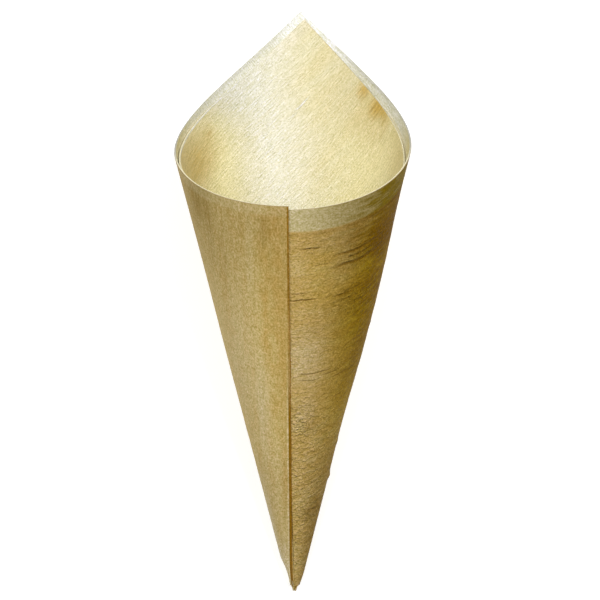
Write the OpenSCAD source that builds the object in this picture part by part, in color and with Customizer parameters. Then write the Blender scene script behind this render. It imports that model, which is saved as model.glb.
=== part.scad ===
// Wooden food cone.
// One rectangle of thin veneer is rolled round a point on its long edge. Its long edge folds
// through 180 degrees about that point, which makes two turns of a cone. The two short ends
// give the rim its peak, and the last end is the flap that is glued down along the seam.
// The cone lies on its longest wall, with the seam up, the tip towards -Y and the mouth
// towards +Y. The origin is the middle of its box, on the surface that it lies on.

/* [Veneer sheet] */
// Short side of the flat sheet, across the grain
sheet_w = 130; // [124:0.5:136]
// Long edge from the rolling point to the flap's corner
flap_side = 130; // [124:0.5:136]
// How much shorter the long edge is from the rolling point to the inner corner
inner_short = 5.5; // [3:0.5:12]
// How far the inner end is cut out of square, in degrees
inner_skew = 1.4; // [0:0.1:3]
// Thickness of the veneer
veneer_t = 0.5; // [0.35:0.05:0.65]

/* [Roll] */
// Angle of each side wall to the axis, in degrees
side_angle = 13.65; // [13:0.05:14.5]
// Angle of the front and back walls to the axis, in degrees
face_angle = 15; // [14:0.05:16]
// How far the seam draws the round of the mouth forward
seam_pull = 0.65; // [0:0.05:1.2]
// Glue and air between two turns
glue_gap = 0.12; // [0.08:0.01:0.25]
// How much nearer the tip each turn lies than the one outside it
roll_slip = 3.7; // [0:0.1:6]
// Where the flap's corner lies round the mouth, from the front's middle, in degrees
flap_at = -2.2; // [-20:0.2:20]
// How far the flap's straight edge passes beside the cone's apex
edge_offset = 1; // [0:0.1:1.5]
// Distance from the apex inside which that edge follows the wall's straight lines
edge_lines_in = 12; // [10:0.5:20]

/* [Back wall] */
// Half the width of the slight flat that the cone lies on, in degrees round the cone
flat_half = 8; // [6:0.5:12]

/* [Right wall] */
// How far the right wall bellies out
belly_h = 0.8; // [0:0.05:1.5]
// Distance of the belly's middle from the apex
belly_at = 96; // [80:1:105]
// Half the length of the belly, along the wall
belly_half = 43; // [25:1:50]

/* [Tip] */
// Radius of the hole that the inner turn leaves open at its very end, before it is crushed
tip_hole = 0.03; // [0.02:0.01:0.3]
// How far the inner turn's end stands out of the outer turn
tip_step = 2.6; // [1:0.1:6]
// Length of wall over which the tip is crushed together
crush_len = 7; // [4:0.5:12]
// Share of its width that the tip loses at its very end
crush = 0.4; // [0:0.05:0.5]

/* [Hidden] */

// The sheet is measured by its angle about the rolling point: 0 at the inner end's long
// edge, 90 across the short side and 180 at the flap's long edge.
whole_angle = 180;
inner_side = flap_side - inner_short;
inner_corner = atan2(sheet_w * cos(inner_skew), inner_side + sheet_w * sin(inner_skew));
flap_corner = whole_angle - atan2(sheet_w, flap_side);

// The outer turn takes up the second half of the sheet's angle
outer_turn_from = whole_angle / 2;
// Sheet angles between which the tip's end steps from the inner turn to the outer one
tip_step_from = 70;
tip_step_to = 110;

mean_angle = (side_angle + face_angle) / 2;
pitch = veneer_t + glue_gap;
lobes = 3;
lobe = seam_pull / (sheet_w * tan(side_angle));
back_slope = tan(face_angle) * (1 - lobe) * cos(flat_half);
back_angle = atan(back_slope);
back_at = flap_at - 180;

// Facets: sheet angle between two straight lines, points along each line, and how much
// closer together those points lie towards the tip
station_angle = 1.3;
rows = 13;
row_crowding = 1.7;
azimuth_step = 3;
turns_listed = 3;
OUTER = 0;
INNER = 1;

function unit(v) = v / norm(v);
function clamp(x, low, high) = min(high, max(low, x));
function smooth(x) = let (t = clamp(x, 0, 1)) t * t * (3 - 2 * t);

// Direction of the wall's straight line from the apex at one azimuth. Azimuth 0 is the
// front, 90 the right and 180 the back. The section is an ellipse with three slight lobes
// and a flat at the back.
function ray(az) =
    let (round = 1 + lobe * cos(lobes * az),
         back = min(back_slope, -tan(face_angle) * round * cos(az)))
    unit([tan(side_angle) * round * sin(az), back, 1]);

// Sheet angle used up, counted back from the flap's edge, against azimuth
roll_table = [
    for (az = flap_at, used = 0; az > flap_at - turns_listed * 360;
         used = used + acos(ray(az) * ray(az - azimuth_step)), az = az - azimuth_step)
        [used, az]
];
function azimuth(angle) = lookup(whole_angle - angle, roll_table);
unroll_table = [for (entry = roll_table) [-entry[1], entry[0]]];
function sheet_angle(az) = whole_angle - lookup(-az, unroll_table);

// Distance from the rolling point to the sheet's edge: short end, long side, short end
function sheet_edge(angle) =
    angle < inner_corner ? inner_side / cos(angle + inner_skew)
    : angle < flap_corner ? sheet_w / sin(angle)
    : -flap_side / cos(angle);

// Turns wound inside the back of the outer turn, 0 there and 1 at the back of the inner one
function turns_in(az) = (back_at - az) / 360;

// The inner turn ends where its inner face has closed round the axis, up to the tip's hole
inner_depth = pitch * turns_in(azimuth(0)) + veneer_t;
inner_tip = (tip_hole + inner_depth / cos(mean_angle)) / sin(side_angle)
    - inner_depth * tan(mean_angle);

// Distances from the apex of the outer surface to the two ends of one straight line
function line_top(angle) =
    let (turns = turns_in(azimuth(angle)), mid_depth = pitch * turns + veneer_t / 2)
    sheet_edge(angle) + mid_depth / tan(mean_angle) - roll_slip * turns;
function line_tip(angle) =
    inner_tip + tip_step * smooth((angle - tip_step_from) / (tip_step_to - tip_step_from));

// The flap's edge passes beside the apex, so the outer turn's lines lean towards it
function edge_lean(along) =
    asin(edge_offset / max(along, edge_lines_in)) - asin(edge_offset / flap_side);
function leaned(angle, along) =
    angle - edge_lean(along)
        * smooth((angle - outer_turn_from) / (whole_angle - outer_turn_from));

function belly(az, along) =
    let (off = clamp((along - belly_at) / belly_half, -1, 1))
    belly_h * pow(cos(90 * off), 2) * pow(max(0, sin(az)), 2);

function crushed(along) =
    1 - crush * pow(1 - clamp((along - inner_tip) / crush_len, 0, 1), 2);

// A point of the wall in the cone's own frame, with its apex at the origin and its axis up
function wall_point(angle, row, face) =
    let (share = pow(row / (rows - 1), row_crowding),
         along = line_tip(angle) + (line_top(angle) - line_tip(angle)) * share,
         az = azimuth(leaned(angle, along)),
         depth = pitch * turns_in(az) + veneer_t * face,
         dir = ray(az),
         out = unit([dir.x, dir.y, 0]),
         p = (along + depth * tan(mean_angle)) * dir
             + (belly(az, along) - depth / cos(mean_angle)) * out,
         squeeze = crushed(along))
    [p.x * squeeze, p.y * squeeze, p.z];

// The same point with the back wall's lowest line laid along +Y on the ground
function laid(p) = [
    p.x,
    p.y * sin(back_angle) + p.z * cos(back_angle),
    p.z * sin(back_angle) - p.y * cos(back_angle)
];

function sorted(list) =
    len(list) < 2 ? list
    : let (first = list[0], others = [for (i = [1 : len(list) - 1]) list[i]])
    concat(
        sorted([for (x = others) if (x < first) x]),
        [first],
        sorted([for (x = others) if (x >= first) x])
    );

// Sheet angles at which the surface has a corner or an edge: the sheet's ends and corners,
// and both sides of the flat in each turn
breaks = sorted(concat(
    [0, inner_corner, flap_corner, whole_angle],
    [for (turn = [0, 1], side = [-1, 1]) sheet_angle(-180 - 360 * turn + side * flat_half)]
));

// Sheet angles from one break up to the next, in even steps
function steps(low, high) =
    high > low
    ? let (n = ceil((high - low) / station_angle)) [for (i = [0 : n - 1]) low + (high - low) * i / n]
    : [];

stations = concat(
    [for (k = [0 : len(breaks) - 2], angle = steps(breaks[k], breaks[k + 1])) angle],
    [whole_angle]
);
last = len(stations) - 1;
top = rows - 1;

loose_points = [
    for (face = [OUTER, INNER], angle = stations, row = [0 : top])
        laid(wall_point(angle, row, face))
];
function lowest(axis) = min([for (p = loose_points) p[axis]]);
function highest(axis) = max([for (p = loose_points) p[axis]]);
base = [
    (lowest(0) + highest(0)) / 2,
    (lowest(1) + highest(1)) / 2,
    lowest(2)
];
points = [for (p = loose_points) p - base];

function at(face, station, row) = (face * (last + 1) + station) * rows + row;
function quad(a, b, c, d) = [[a, b, c], [a, c, d]];

// Both faces of the veneer, then its cut edges: rim, tip, inner end and flap
triangles = [
    for (i = [0 : last - 1], j = [0 : top - 1], t = quad(
        at(OUTER, i, j), at(OUTER, i, j + 1), at(OUTER, i + 1, j + 1), at(OUTER, i + 1, j)
    )) t,
    for (i = [0 : last - 1], j = [0 : top - 1], t = quad(
        at(INNER, i, j), at(INNER, i + 1, j), at(INNER, i + 1, j + 1), at(INNER, i, j + 1)
    )) t,
    for (i = [0 : last - 1], t = quad(
        at(OUTER, i, top), at(INNER, i, top), at(INNER, i + 1, top), at(OUTER, i + 1, top)
    )) t,
    for (i = [0 : last - 1], t = quad(
        at(OUTER, i, 0), at(OUTER, i + 1, 0), at(INNER, i + 1, 0), at(INNER, i, 0)
    )) t,
    for (j = [0 : top - 1], t = quad(
        at(OUTER, 0, j), at(INNER, 0, j), at(INNER, 0, j + 1), at(OUTER, 0, j + 1)
    )) t,
    for (j = [0 : top - 1], t = quad(
        at(OUTER, last, j), at(OUTER, last, j + 1), at(INNER, last, j + 1), at(INNER, last, j)
    )) t
];

module rolled_veneer() {
    color([0.78, 0.69, 0.48])
        polyhedron(points = points, faces = triangles, convexity = 8);
}

rolled_veneer();
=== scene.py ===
"""Dresses the wooden food cone: one sheet of veneer rolled in two turns, its glue and its splinters.

The sheet is worked out with the same formulas as the solid: a point of the flat sheet has a
sheet angle about the rolling point and a distance from it, and the roll turns the angle into
an azimuth round a slightly oval cone. Lengths are in metres and angles in radians.
"""

import math

import bpy
import numpy as np
from bpy.props import FloatProperty, FloatVectorProperty, PointerProperty
from mathutils import Matrix, Vector


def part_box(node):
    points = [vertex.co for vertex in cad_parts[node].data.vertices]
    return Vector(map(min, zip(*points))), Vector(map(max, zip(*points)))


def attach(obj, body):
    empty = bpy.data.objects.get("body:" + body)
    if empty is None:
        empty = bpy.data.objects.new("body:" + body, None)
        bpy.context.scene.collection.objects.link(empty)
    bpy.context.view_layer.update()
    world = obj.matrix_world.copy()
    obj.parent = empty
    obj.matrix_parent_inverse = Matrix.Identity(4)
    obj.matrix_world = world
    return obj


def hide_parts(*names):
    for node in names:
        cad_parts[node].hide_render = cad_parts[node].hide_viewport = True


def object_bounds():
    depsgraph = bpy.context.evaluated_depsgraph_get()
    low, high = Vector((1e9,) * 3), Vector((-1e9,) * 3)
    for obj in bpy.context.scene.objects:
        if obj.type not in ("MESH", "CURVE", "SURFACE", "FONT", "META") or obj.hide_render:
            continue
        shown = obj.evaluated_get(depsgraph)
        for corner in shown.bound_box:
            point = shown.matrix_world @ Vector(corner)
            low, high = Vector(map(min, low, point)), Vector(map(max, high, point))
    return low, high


bl_info = {
    "name": "Wooden Food Cone",
    "version": (1, 0, 0),
    "blender": (4, 5, 0),
    "location": "3D View > Sidebar > Food Cone",
    "description": "Rolls a sheet of wood veneer into a food cone and lights it",
    "category": "Add Mesh",
}

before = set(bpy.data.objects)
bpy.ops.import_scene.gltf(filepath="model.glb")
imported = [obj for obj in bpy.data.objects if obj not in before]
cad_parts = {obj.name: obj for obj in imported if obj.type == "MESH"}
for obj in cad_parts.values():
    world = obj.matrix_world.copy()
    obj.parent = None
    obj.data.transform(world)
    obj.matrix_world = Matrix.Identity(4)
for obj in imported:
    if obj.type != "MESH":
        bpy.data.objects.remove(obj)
CAD_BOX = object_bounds()
NODE = "rolled_veneer"
BODY = "root"

MM = 0.001
TURN = 2 * math.pi
OUTSIDE, INSIDE, CUT_EDGE = range(3)
SHARP_FROM = math.radians(40)


def length(name, description, default, high=0.5):
    """A property that holds a length in metres."""
    return FloatProperty(
        name=name, description=description, default=default, min=0.0, max=high, unit="LENGTH", precision=5
    )


def place(name, description, default):
    """A property that holds a point in metres."""
    return FloatVectorProperty(name=name, description=description, default=default, unit="LENGTH")


def angle(name, description, degrees):
    """A property that holds an angle, given here in degrees."""
    return FloatProperty(
        name=name, description=description, default=math.radians(degrees), unit="ROTATION", precision=4
    )


def share(name, description, default, high=1.0):
    """A property that holds a plain factor."""
    return FloatProperty(name=name, description=description, default=default, min=0.0, max=high)


def colour(name, description, default):
    """A property that holds a linear colour."""
    return FloatVectorProperty(
        name=name, description=description, default=default, subtype="COLOR", size=3, min=0.0, max=1.0
    )


class SheetSettings(bpy.types.PropertyGroup):
    """Sizes of the flat sheet and of the roll."""

    sheet_w: length("Short side", "Short side of the flat sheet, across the grain", 0.130)
    flap_side: length("Flap side", "Long edge from the rolling point to the flap's corner", 0.130)
    inner_short: length("Inner side shorter by", "How much shorter the inner side is", 0.0055)
    inner_skew: angle("Inner skew", "How far the inner end is cut out of square", 1.4)
    veneer_t: length("Thickness", "Thickness of the veneer", 0.0005)
    side_angle: angle("Side angle", "Angle of each side wall to the axis", 13.65)
    face_angle: angle("Face angle", "Angle of the front and back walls to the axis", 15.0)
    seam_pull: length("Seam pull", "How far the seam draws the mouth's round forward", 0.00065)
    glue_gap: length("Glue gap", "Glue and air between two turns", 0.00012)
    roll_slip: length("Roll slip", "How much nearer the tip each turn lies", 0.0037)
    flap_at: angle("Flap at", "Where the flap's corner lies round the mouth", -2.2)
    edge_offset: length("Edge offset", "How far the flap's edge passes beside the apex", 0.001)
    edge_lines_in: length("Edge lines in", "Distance inside which the edge follows the lines", 0.012)
    flat_half: angle("Flat", "Half the width of the flat that the cone lies on", 8.0)
    belly_h: length("Belly", "How far the right wall bellies out", 0.0008)
    belly_at: length("Belly at", "Distance of the belly's middle from the apex", 0.096)
    belly_half: length("Belly half length", "Half the length of the belly", 0.043)
    tip_hole: length("Tip hole", "Radius of the hole that the inner turn leaves", 0.00003)
    tip_step: length("Tip step", "How far the inner turn's end stands out", 0.0026)
    crush_len: length("Crush length", "Length of wall over which the tip is crushed", 0.007)
    crush: share("Crush", "Share of its width that the tip loses at its end", 0.4)
    tip_dent: share("Tip dent", "Share of its half width by which the tip's left side is dented", 0.27)
    dent_at: length("Dent at", "Distance of the dent's middle from the tip's end", 0.0055)
    dent_half: length("Dent half length", "Half the length of the dent", 0.0065)
    ragged: length("Ragged tip", "How uneven the torn ends at the tip are", 0.00035)
    crease_h: length("Creases", "Height of the creases across the right wall", 0.00009)


class FinishSettings(bpy.types.PropertyGroup):
    """Colours of the veneer and of the glue."""

    outside: colour("Outside", "Face that shows outside", (0.52, 0.40, 0.172))
    outside_warm: colour("Outside warm", "Browner streaks outside", (0.47, 0.322, 0.105))
    inside: colour("Inside", "Face that shows inside", (0.57, 0.515, 0.29))
    inside_warm: colour("Inside warm", "Deeper streaks inside", (0.55, 0.467, 0.203))
    sapwood: colour("Sapwood", "Pale strip along the sheet's long edge", (0.51, 0.435, 0.235))
    # Painted light: this pale colour stands for light shining through the thin ply.
    single_ply: colour("Single ply", "Thin margin inside that nothing backs", (0.55, 0.53, 0.41))
    # Painted highlight round the peak, where light also shines through the thin ply.
    peak: colour("Peak", "Bleached margin round the peak", (0.69, 0.685, 0.64))
    cut_edge: colour("Cut edge", "Cut edge of the veneer", (0.80, 0.74, 0.50))
    old_edge: colour("Old edge", "Greyed cut edge at the back of the rim", (0.36, 0.35, 0.29))
    glowing: colour("Glowing", "Where light comes back between two plies", (0.80, 0.70, 0.45))
    # Real stains, and also the right wall's painted shade.
    stain_and_shade: colour("Stain", "What the dark stains leave of the wood's colour", (0.33, 0.25, 0.0))
    yellowing: colour("Yellowing", "What the yellow tinge leaves of it on the far right", (0.97, 0.92, 0.06))
    # Dark lines in cracks and under the pale strip, and painted shade on the cut edge.
    dark_line_and_shade: colour("Groove", "Dirt in cracks", (0.15, 0.075, 0.003))
    ochre: colour("Ochre", "Orange stains inside", (0.46, 0.29, 0.02))
    # Paler patches outside, some of them painted highlights, and the paler edge strip inside.
    bleach: colour("Bleach", "Paler, greyer patches outside", (0.60, 0.52, 0.34))
    # Painted sheen down the inside's back.
    painted_sheen: colour("Bleach inside", "Paler band inside", (0.61, 0.59, 0.49))
    bright_inside: colour("Bright inside", "Where the thin wall glows near the rim", (0.785, 0.71, 0.39))
    glue: colour("Glue", "Dried glue along the seam", (0.21, 0.10, 0.002))


class StageSettings(bpy.types.PropertyGroup):
    """Camera and light."""

    camera_at: place("Camera", "Where the camera stands", (-0.00038, -0.02722, 0.39414))
    camera_aim: place("Aim", "Point that the camera looks at", (0.00184, -0.00246, 0.020))
    camera_roll: angle("Camera roll", "How far the camera is turned about its own axis", 0.30)
    lens: FloatProperty(name="Lens", description="Focal length in millimetres", default=76.81)
    lamp_aim: place("Lamp aim", "Point that both lamps face", (0.0, 0.0, 0.02))
    key_at: place("Key place", "Where the large overhead lamp hangs", (-0.33, 0.20, 0.74))
    key_width: length("Key width", "Width of the large lamp", 0.50, high=2.0)
    key: share("Key light", "Radiance of the large lamp", 3.9, 100.0)
    sheen_at: place("Sheen place", "Where the small lamp hangs, for the sheen inside", (0.24, 0.19, 0.74))
    sheen_width: length("Sheen width", "Width of the small lamp", 0.14, high=2.0)
    sheen: share("Sheen light", "Radiance of the small lamp", 44.0, 200.0)
    sky: share("Room light", "Strength of the light from all round", 0.33, 10.0)
    floor_half: length("Floor half", "Half the width of the floor, which reaches the horizon", 6.0, high=50.0)


def smooth(x):
    """Smoothstep: 0 below 0, 1 above 1, and 3x^2 - 2x^3 between."""
    t = np.clip(x, 0.0, 1.0)
    return t * t * (3 - 2 * t)


def bump(x):
    """A bell: (1 - x^2)^2 within one unit of the middle and 0 outside."""
    return np.clip(1 - x * x, 0.0, 1.0) ** 2


def rise(value, start, over):
    """0 up to start and 1 from start + over on, with a smoothstep between."""
    return smooth((value - start) / over)


def band(value, middle, half):
    """A bell with its top at the middle and its feet half a width away."""
    return bump((value - middle) / half)


def unit(v):
    """Vectors scaled to length 1."""
    return v / np.linalg.norm(v, axis=-1, keepdims=True)


class Roll:
    """The rolled sheet as formulas: sheet angle, distance from the apex and depth in, place out."""

    TABLE_STEP = math.radians(3)
    TURNS_LISTED = 3
    LOBES = 3
    TIP_STEP_FROM = math.radians(70)
    TIP_STEP_TO = math.radians(110)

    def __init__(self, size):
        self.size = size
        self.whole = math.pi
        self.half = self.whole / 2
        self.inner_side = size.flap_side - size.inner_short
        across, past = math.cos(size.inner_skew), math.sin(size.inner_skew)
        self.inner_corner = math.atan2(size.sheet_w * across, self.inner_side + size.sheet_w * past)
        self.flap_corner = self.whole - math.atan2(size.sheet_w, size.flap_side)
        self.mean = (size.side_angle + size.face_angle) / 2
        self.pitch = size.veneer_t + size.glue_gap
        self.lobe = size.seam_pull / (size.sheet_w * math.tan(size.side_angle))
        self.back_slope = math.tan(size.face_angle) * (1 - self.lobe) * math.cos(size.flat_half)
        self.back_angle = math.atan(self.back_slope)
        self.back_at = size.flap_at - TURN / 2
        self.listed = size.flap_at - np.arange(0, self.TURNS_LISTED * TURN, self.TABLE_STEP)
        rays = self.ray(self.listed)
        turned = np.arccos(np.clip((rays[1:] * rays[:-1]).sum(-1), -1, 1))
        self.used = np.concatenate([[0.0], np.cumsum(turned)])
        depth = self.pitch * self.turns_in(self.azimuth(0.0)) + size.veneer_t
        self.inner_tip = (size.tip_hole + depth / math.cos(self.mean)) / math.sin(size.side_angle)
        self.inner_tip -= depth * math.tan(self.mean)
        self.base = np.zeros(3)

    def ray(self, az):
        """Direction of one azimuth's line: an ellipse with three slight lobes, cut flat behind."""
        size = self.size
        swell = 1 + self.lobe * np.cos(self.LOBES * az)
        right = math.tan(size.side_angle) * swell * np.sin(az)
        back = np.minimum(self.back_slope, -math.tan(size.face_angle) * swell * np.cos(az))
        return unit(np.stack([right, back, np.ones_like(right)], -1))

    def azimuth(self, sheet_angle):
        """Azimuth at which a sheet angle ends up, counted back from the flap's edge."""
        return np.interp(self.whole - sheet_angle, self.used, self.listed)

    def sheet_angle(self, az):
        """The sheet angle that ends up at an azimuth."""
        return self.whole - np.interp(-az, -self.listed, self.used)

    def turns_in(self, az):
        """Turns wound inside the back of the outer turn."""
        return (self.back_at - az) / TURN

    def sheet_edge(self, sheet_angle):
        """Distance from the rolling point to the sheet's edge: short end, long side, short end."""
        size = self.size
        inner = self.inner_side / np.cos(np.minimum(sheet_angle, self.inner_corner) + size.inner_skew)
        side = size.sheet_w / np.sin(np.clip(sheet_angle, self.inner_corner, self.flap_corner))
        flap = -size.flap_side / np.cos(np.maximum(sheet_angle, self.flap_corner))
        past_corner = np.where(sheet_angle < self.flap_corner, side, flap)
        return np.where(sheet_angle < self.inner_corner, inner, past_corner)

    def line_top(self, sheet_angle):
        """Distance from the apex to the rim along one straight line."""
        turns = self.turns_in(self.azimuth(sheet_angle))
        middle = self.pitch * turns + self.size.veneer_t / 2
        return self.sheet_edge(sheet_angle) + middle / math.tan(self.mean) - self.size.roll_slip * turns

    def line_tip(self, sheet_angle):
        """Distance from the apex to the tip's end along one straight line, with a torn, uneven edge.

        The edge's unevenness is sin(23 a + 1) sin(57 a) + sin(131 a) / 2 of the sheet angle a.
        """
        step = (sheet_angle - self.TIP_STEP_FROM) / (self.TIP_STEP_TO - self.TIP_STEP_FROM)
        torn = np.sin(sheet_angle * 23 + 1) * np.sin(sheet_angle * 57) + 0.5 * np.sin(sheet_angle * 131)
        return self.inner_tip + self.size.tip_step * smooth(step) + self.size.ragged * torn * smooth(step)

    def leaned(self, sheet_angle, along):
        """The flap's straight edge passes beside the apex, so the outer turn's lines lean towards it."""
        size = self.size
        lean = np.arcsin(size.edge_offset / np.maximum(along, size.edge_lines_in))
        lean = lean - math.asin(size.edge_offset / size.flap_side)
        return sheet_angle - lean * smooth((sheet_angle - self.half) / self.half)

    def place(self, az, along, depth):
        """The point at an azimuth and a distance from the apex, that deep inside the outer turn's face."""
        size = self.size
        line = self.ray(az)
        out = unit(line * np.array([1.0, 1.0, 0.0]))
        off = np.clip((along - size.belly_at) / size.belly_half, -1, 1)
        belly = size.belly_h * np.cos(math.pi / 2 * off) ** 2 * np.maximum(0, np.sin(az)) ** 2
        reach = along + depth * math.tan(self.mean)
        point = reach[..., None] * line + (belly - depth / math.cos(self.mean))[..., None] * out
        past_tip = along - self.inner_tip
        narrow = 1 - size.crush * (1 - np.clip(past_tip / size.crush_len, 0, 1)) ** 2
        dent = size.tip_dent * bump((past_tip - size.dent_at) / size.dent_half) * np.maximum(0, -np.sin(az))
        point = point * np.stack([narrow * (1 - dent), narrow, np.ones_like(narrow)], -1)
        return self.laid(point) - self.base

    def laid(self, point):
        """Turns the cone so that the back wall's lowest line lies along +Y on the ground."""
        s, c = math.sin(self.back_angle), math.cos(self.back_angle)
        x, y, z = point[..., 0], point[..., 1], point[..., 2]
        return np.stack([x, y * s + z * c, z * s - y * c], -1)

    def margin(self, az, along):
        """How far a point of the outer turn lies past the rim of the turn inside it."""
        inner = self.sheet_angle(az - TURN)
        return along - self.line_top(inner)


CREASE_SEED = 11
CREASE_COUNT = 46
CREASED_ALONG = (-48, -3)
CREASED_ACROSS = (14, 124)
CREASE_REACH = (7, 24)
CREASE_WIDTH = (1.2, 2.4)
CREASE_BEND = 3
CREASE_SHARE = (0.3, 1.0)
SPLINTERS = ((-17.05, 40.6, 0.50), (-8.5, 20.3, 0.34), (-21.3, 50.7, 0.20))
SPLINTER_REACH = 1.3
SPLINTER_WIDTH = 0.8


def creases(x, y, height):
    """Height of the creases in the sheet: bells across the grain, long and slightly bent along it.

    Each crease is height * bell((x - x0) / reach) * bell((y - y0 - bend * (x - x0)^2) / width).
    """
    rng = np.random.default_rng(CREASE_SEED)
    total = np.zeros_like(x)
    for _ in range(CREASE_COUNT):
        x0, y0 = (rng.uniform(*limits) * MM for limits in (CREASED_ALONG, CREASED_ACROSS))
        reach, width = (rng.uniform(*limits) * MM for limits in (CREASE_REACH, CREASE_WIDTH))
        bend, sign = rng.uniform(-CREASE_BEND, CREASE_BEND), rng.choice([-1.0, 1.0])
        off = y - y0 - bend * (x - x0) ** 2
        total += sign * height * rng.uniform(*CREASE_SHARE) * bump((x - x0) / reach) * bump(off / width)
    return total


def splinters(x, y):
    """Height of the splinters that stand off the right edge: small bells, longer along the grain."""
    total = np.zeros_like(x)
    for x0, y0, height in SPLINTERS:
        total += height * MM * bump(np.hypot((x / MM - x0) / SPLINTER_REACH, (y / MM - y0) / SPLINTER_WIDTH))
    return total


def warps(x, y, height):
    """Slow waves of the dried sheet: two sines across the grain, 57 and 33 mm long, that drift along it."""
    slow = np.sin(y / (9 * MM) + 2 * np.sin(x / (31 * MM)))
    quick = np.sin(y / (5.3 * MM) - x / (40 * MM))
    return height * (slow + 0.6 * quick)


class Shell:
    """The veneer as one closed ring of points for each straight line: outer face, rim, inner face, tip.

    row_share runs along a line from the tip, 0, to the rim, 1, and face through the sheet from
    the outer face, 0, to the inner one, 1. rim is 1 on the rim's cut edge, -1 on the tip's, else 0.
    """

    ROWS = 104
    EDGE_FACES = (0.07, 0.5, 0.93)
    STATION = math.radians(0.44)
    CROWDING = 1.35
    ROUNDED = 0.05 * MM
    WARP = 0.05 * MM
    SMOOTH_TO, UNEVEN_OVER = 20 * MM, 30 * MM
    FLAT_FADES_OVER = math.radians(25)

    def __init__(self, roll):
        self.roll = roll
        self.stations = self.station_angles()
        self.face_rows = np.linspace(0, 1, self.ROWS) ** self.CROWDING
        count = len(self.EDGE_FACES)
        edge = np.array(self.EDGE_FACES)
        self.ring_share = np.concatenate(
            [self.face_rows, np.ones(count), self.face_rows[::-1], np.zeros(count)]
        )
        self.ring_face = np.concatenate(
            [np.zeros(self.ROWS), edge, np.ones(self.ROWS), edge[::-1]]
        )
        self.ring_rim = np.concatenate(
            [np.zeros(self.ROWS), np.ones(count), np.zeros(self.ROWS), -np.ones(count)]
        )

    def station_angles(self):
        """Sheet angles of the straight lines, even between the sheet's corners and the flat's edges."""
        roll = self.roll
        flats = [
            roll.sheet_angle(-TURN / 2 - TURN * turn + side * roll.size.flat_half)
            for turn in (0, 1)
            for side in (-1, 1)
        ]
        breaks = np.sort([0.0, roll.inner_corner, roll.flap_corner, roll.whole, *flats])
        runs = [
            np.linspace(low, high, max(2, math.ceil((high - low) / self.STATION) + 1))[:-1]
            for low, high in zip(breaks[:-1], breaks[1:])
        ]
        return np.concatenate([*runs, [roll.whole]])

    def surface(self, station, row_share, face, rim):
        """Place and sheet coordinates of points given by straight line, share along it and face."""
        roll = self.roll
        tip, top = roll.line_tip(station), roll.line_top(station)
        along = tip + (top - tip) * row_share
        rounded = rim * self.ROUNDED * (1 - (2 * face - 1) ** 4)
        az = roll.azimuth(roll.leaned(station, along))
        x, y = along * np.cos(station), along * np.sin(station)
        relief = creases(x, y, roll.size.crease_h) + warps(x, y, self.WARP) + splinters(x, y)
        relief = relief * rise(along, self.SMOOTH_TO, self.UNEVEN_OVER) * self.off_the_floor(az)
        depth = roll.pitch * roll.turns_in(az) + roll.size.veneer_t * face - relief
        return roll.place(az, along + rounded, depth), x, y, az, along, np.broadcast_to(face, az.shape)

    def off_the_floor(self, az):
        """0 along the wall that the cone lies on, so that it stays flat, and 1 elsewhere."""
        from_back = np.abs((az % TURN) - TURN / 2)
        return rise(from_back, self.roll.size.flat_half, self.FLAT_FADES_OVER)


def grid_quads(rows, columns, index, wrap):
    """Quads of a grid of point numbers, closed round the columns where wrap is set."""
    right = np.roll(index, -1, axis=1) if wrap else index[:, 1:]
    left = index if wrap else index[:, :-1]
    quads = np.stack([left[:-1], left[1:], right[1:], right[:-1]], -1)
    return quads.reshape(-1, 4)


def mesh_object(name, points, quads, triangles=()):
    """A mesh object at the origin from arrays of points, quads and triangles."""
    faces = [*map(tuple, quads.tolist()), *map(tuple, np.asarray(triangles, int).reshape(-1, 3).tolist())]
    mesh = bpy.data.meshes.new(name)
    mesh.from_pydata(points.tolist(), [], faces)
    mesh.polygons.foreach_set("use_smooth", np.ones(len(mesh.polygons), bool))
    mesh.update()
    made = bpy.data.objects.new(name, mesh)
    bpy.context.scene.collection.objects.link(made)
    return made


def point_values(mesh, name, values):
    """Keeps one number for each point of the mesh, for the materials to read."""
    layer = mesh.attributes.new(name, "FLOAT", "POINT")
    layer.data.foreach_set("value", np.ascontiguousarray(values, np.float32).ravel())


STAINS = {
    "brown": (
        (-18, 102.5, 10, 2.4, 0.14),
        (-24, 104, 12, 4, 0.12),
        (-27, 116, 16, 6, 0.10),
        (-6, 36, 7, 3.5, 0.24),
        (-7, 65, 3.2, 2.2, 0.16),
        (-127, 32, 12, 9, 0.26),
        (-124, 26, 20, 3, 0.14),
        (-124, 7, 7, 3, 0.14),
        (-112, 20, 14, 1.6, 0.12),
    ),
    "warm": (
        (-108, 7, 30, 1.6, 0.40),
        (-6.8, 65, 3.4, 2.6, 1.0),
    ),
    "bleached": (
        (-80, 18, 30, 10, 0.16),
        (-70, 8, 24, 4, 0.30),
        (-116, 11, 16, 2.0, 0.22),
        (-36, 7, 24, 5, 0.10),
        (-16, 2, 14, 6, 0.50),
        (-5, 86, 10, 13, 0.32),
        (-5, 70, 5, 7, 0.20),
    ),
    "creased": (
        (-27, 114, 14, 4.5, 0.5),
        (-20, 101, 10, 5, 0.7),
        (-4, 68, 5, 9, 0.8),
        (-6, 35, 6, 4, 0.7),
    ),
    "ochre": (
        (126, 98.5, 4.5, 3.4, 0.85),
        (126, 90.5, 6.0, 4.6, 1.00),
        (126, 86.4, 4.0, 2.4, 0.60),
        (125, 84, 5, 3.0, 0.25),
        (121, 88, 13, 12, 0.22),
        (122, 76, 16, 14, 0.14),
        (68, 121, 17, 9, 0.50),
        (77, 125, 6, 4, 0.20),
    ),
}

TAPER_FROM = 0.4
FULL_TO, GONE_AT = 0.3, 1.6
SWAY = 1.6

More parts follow.
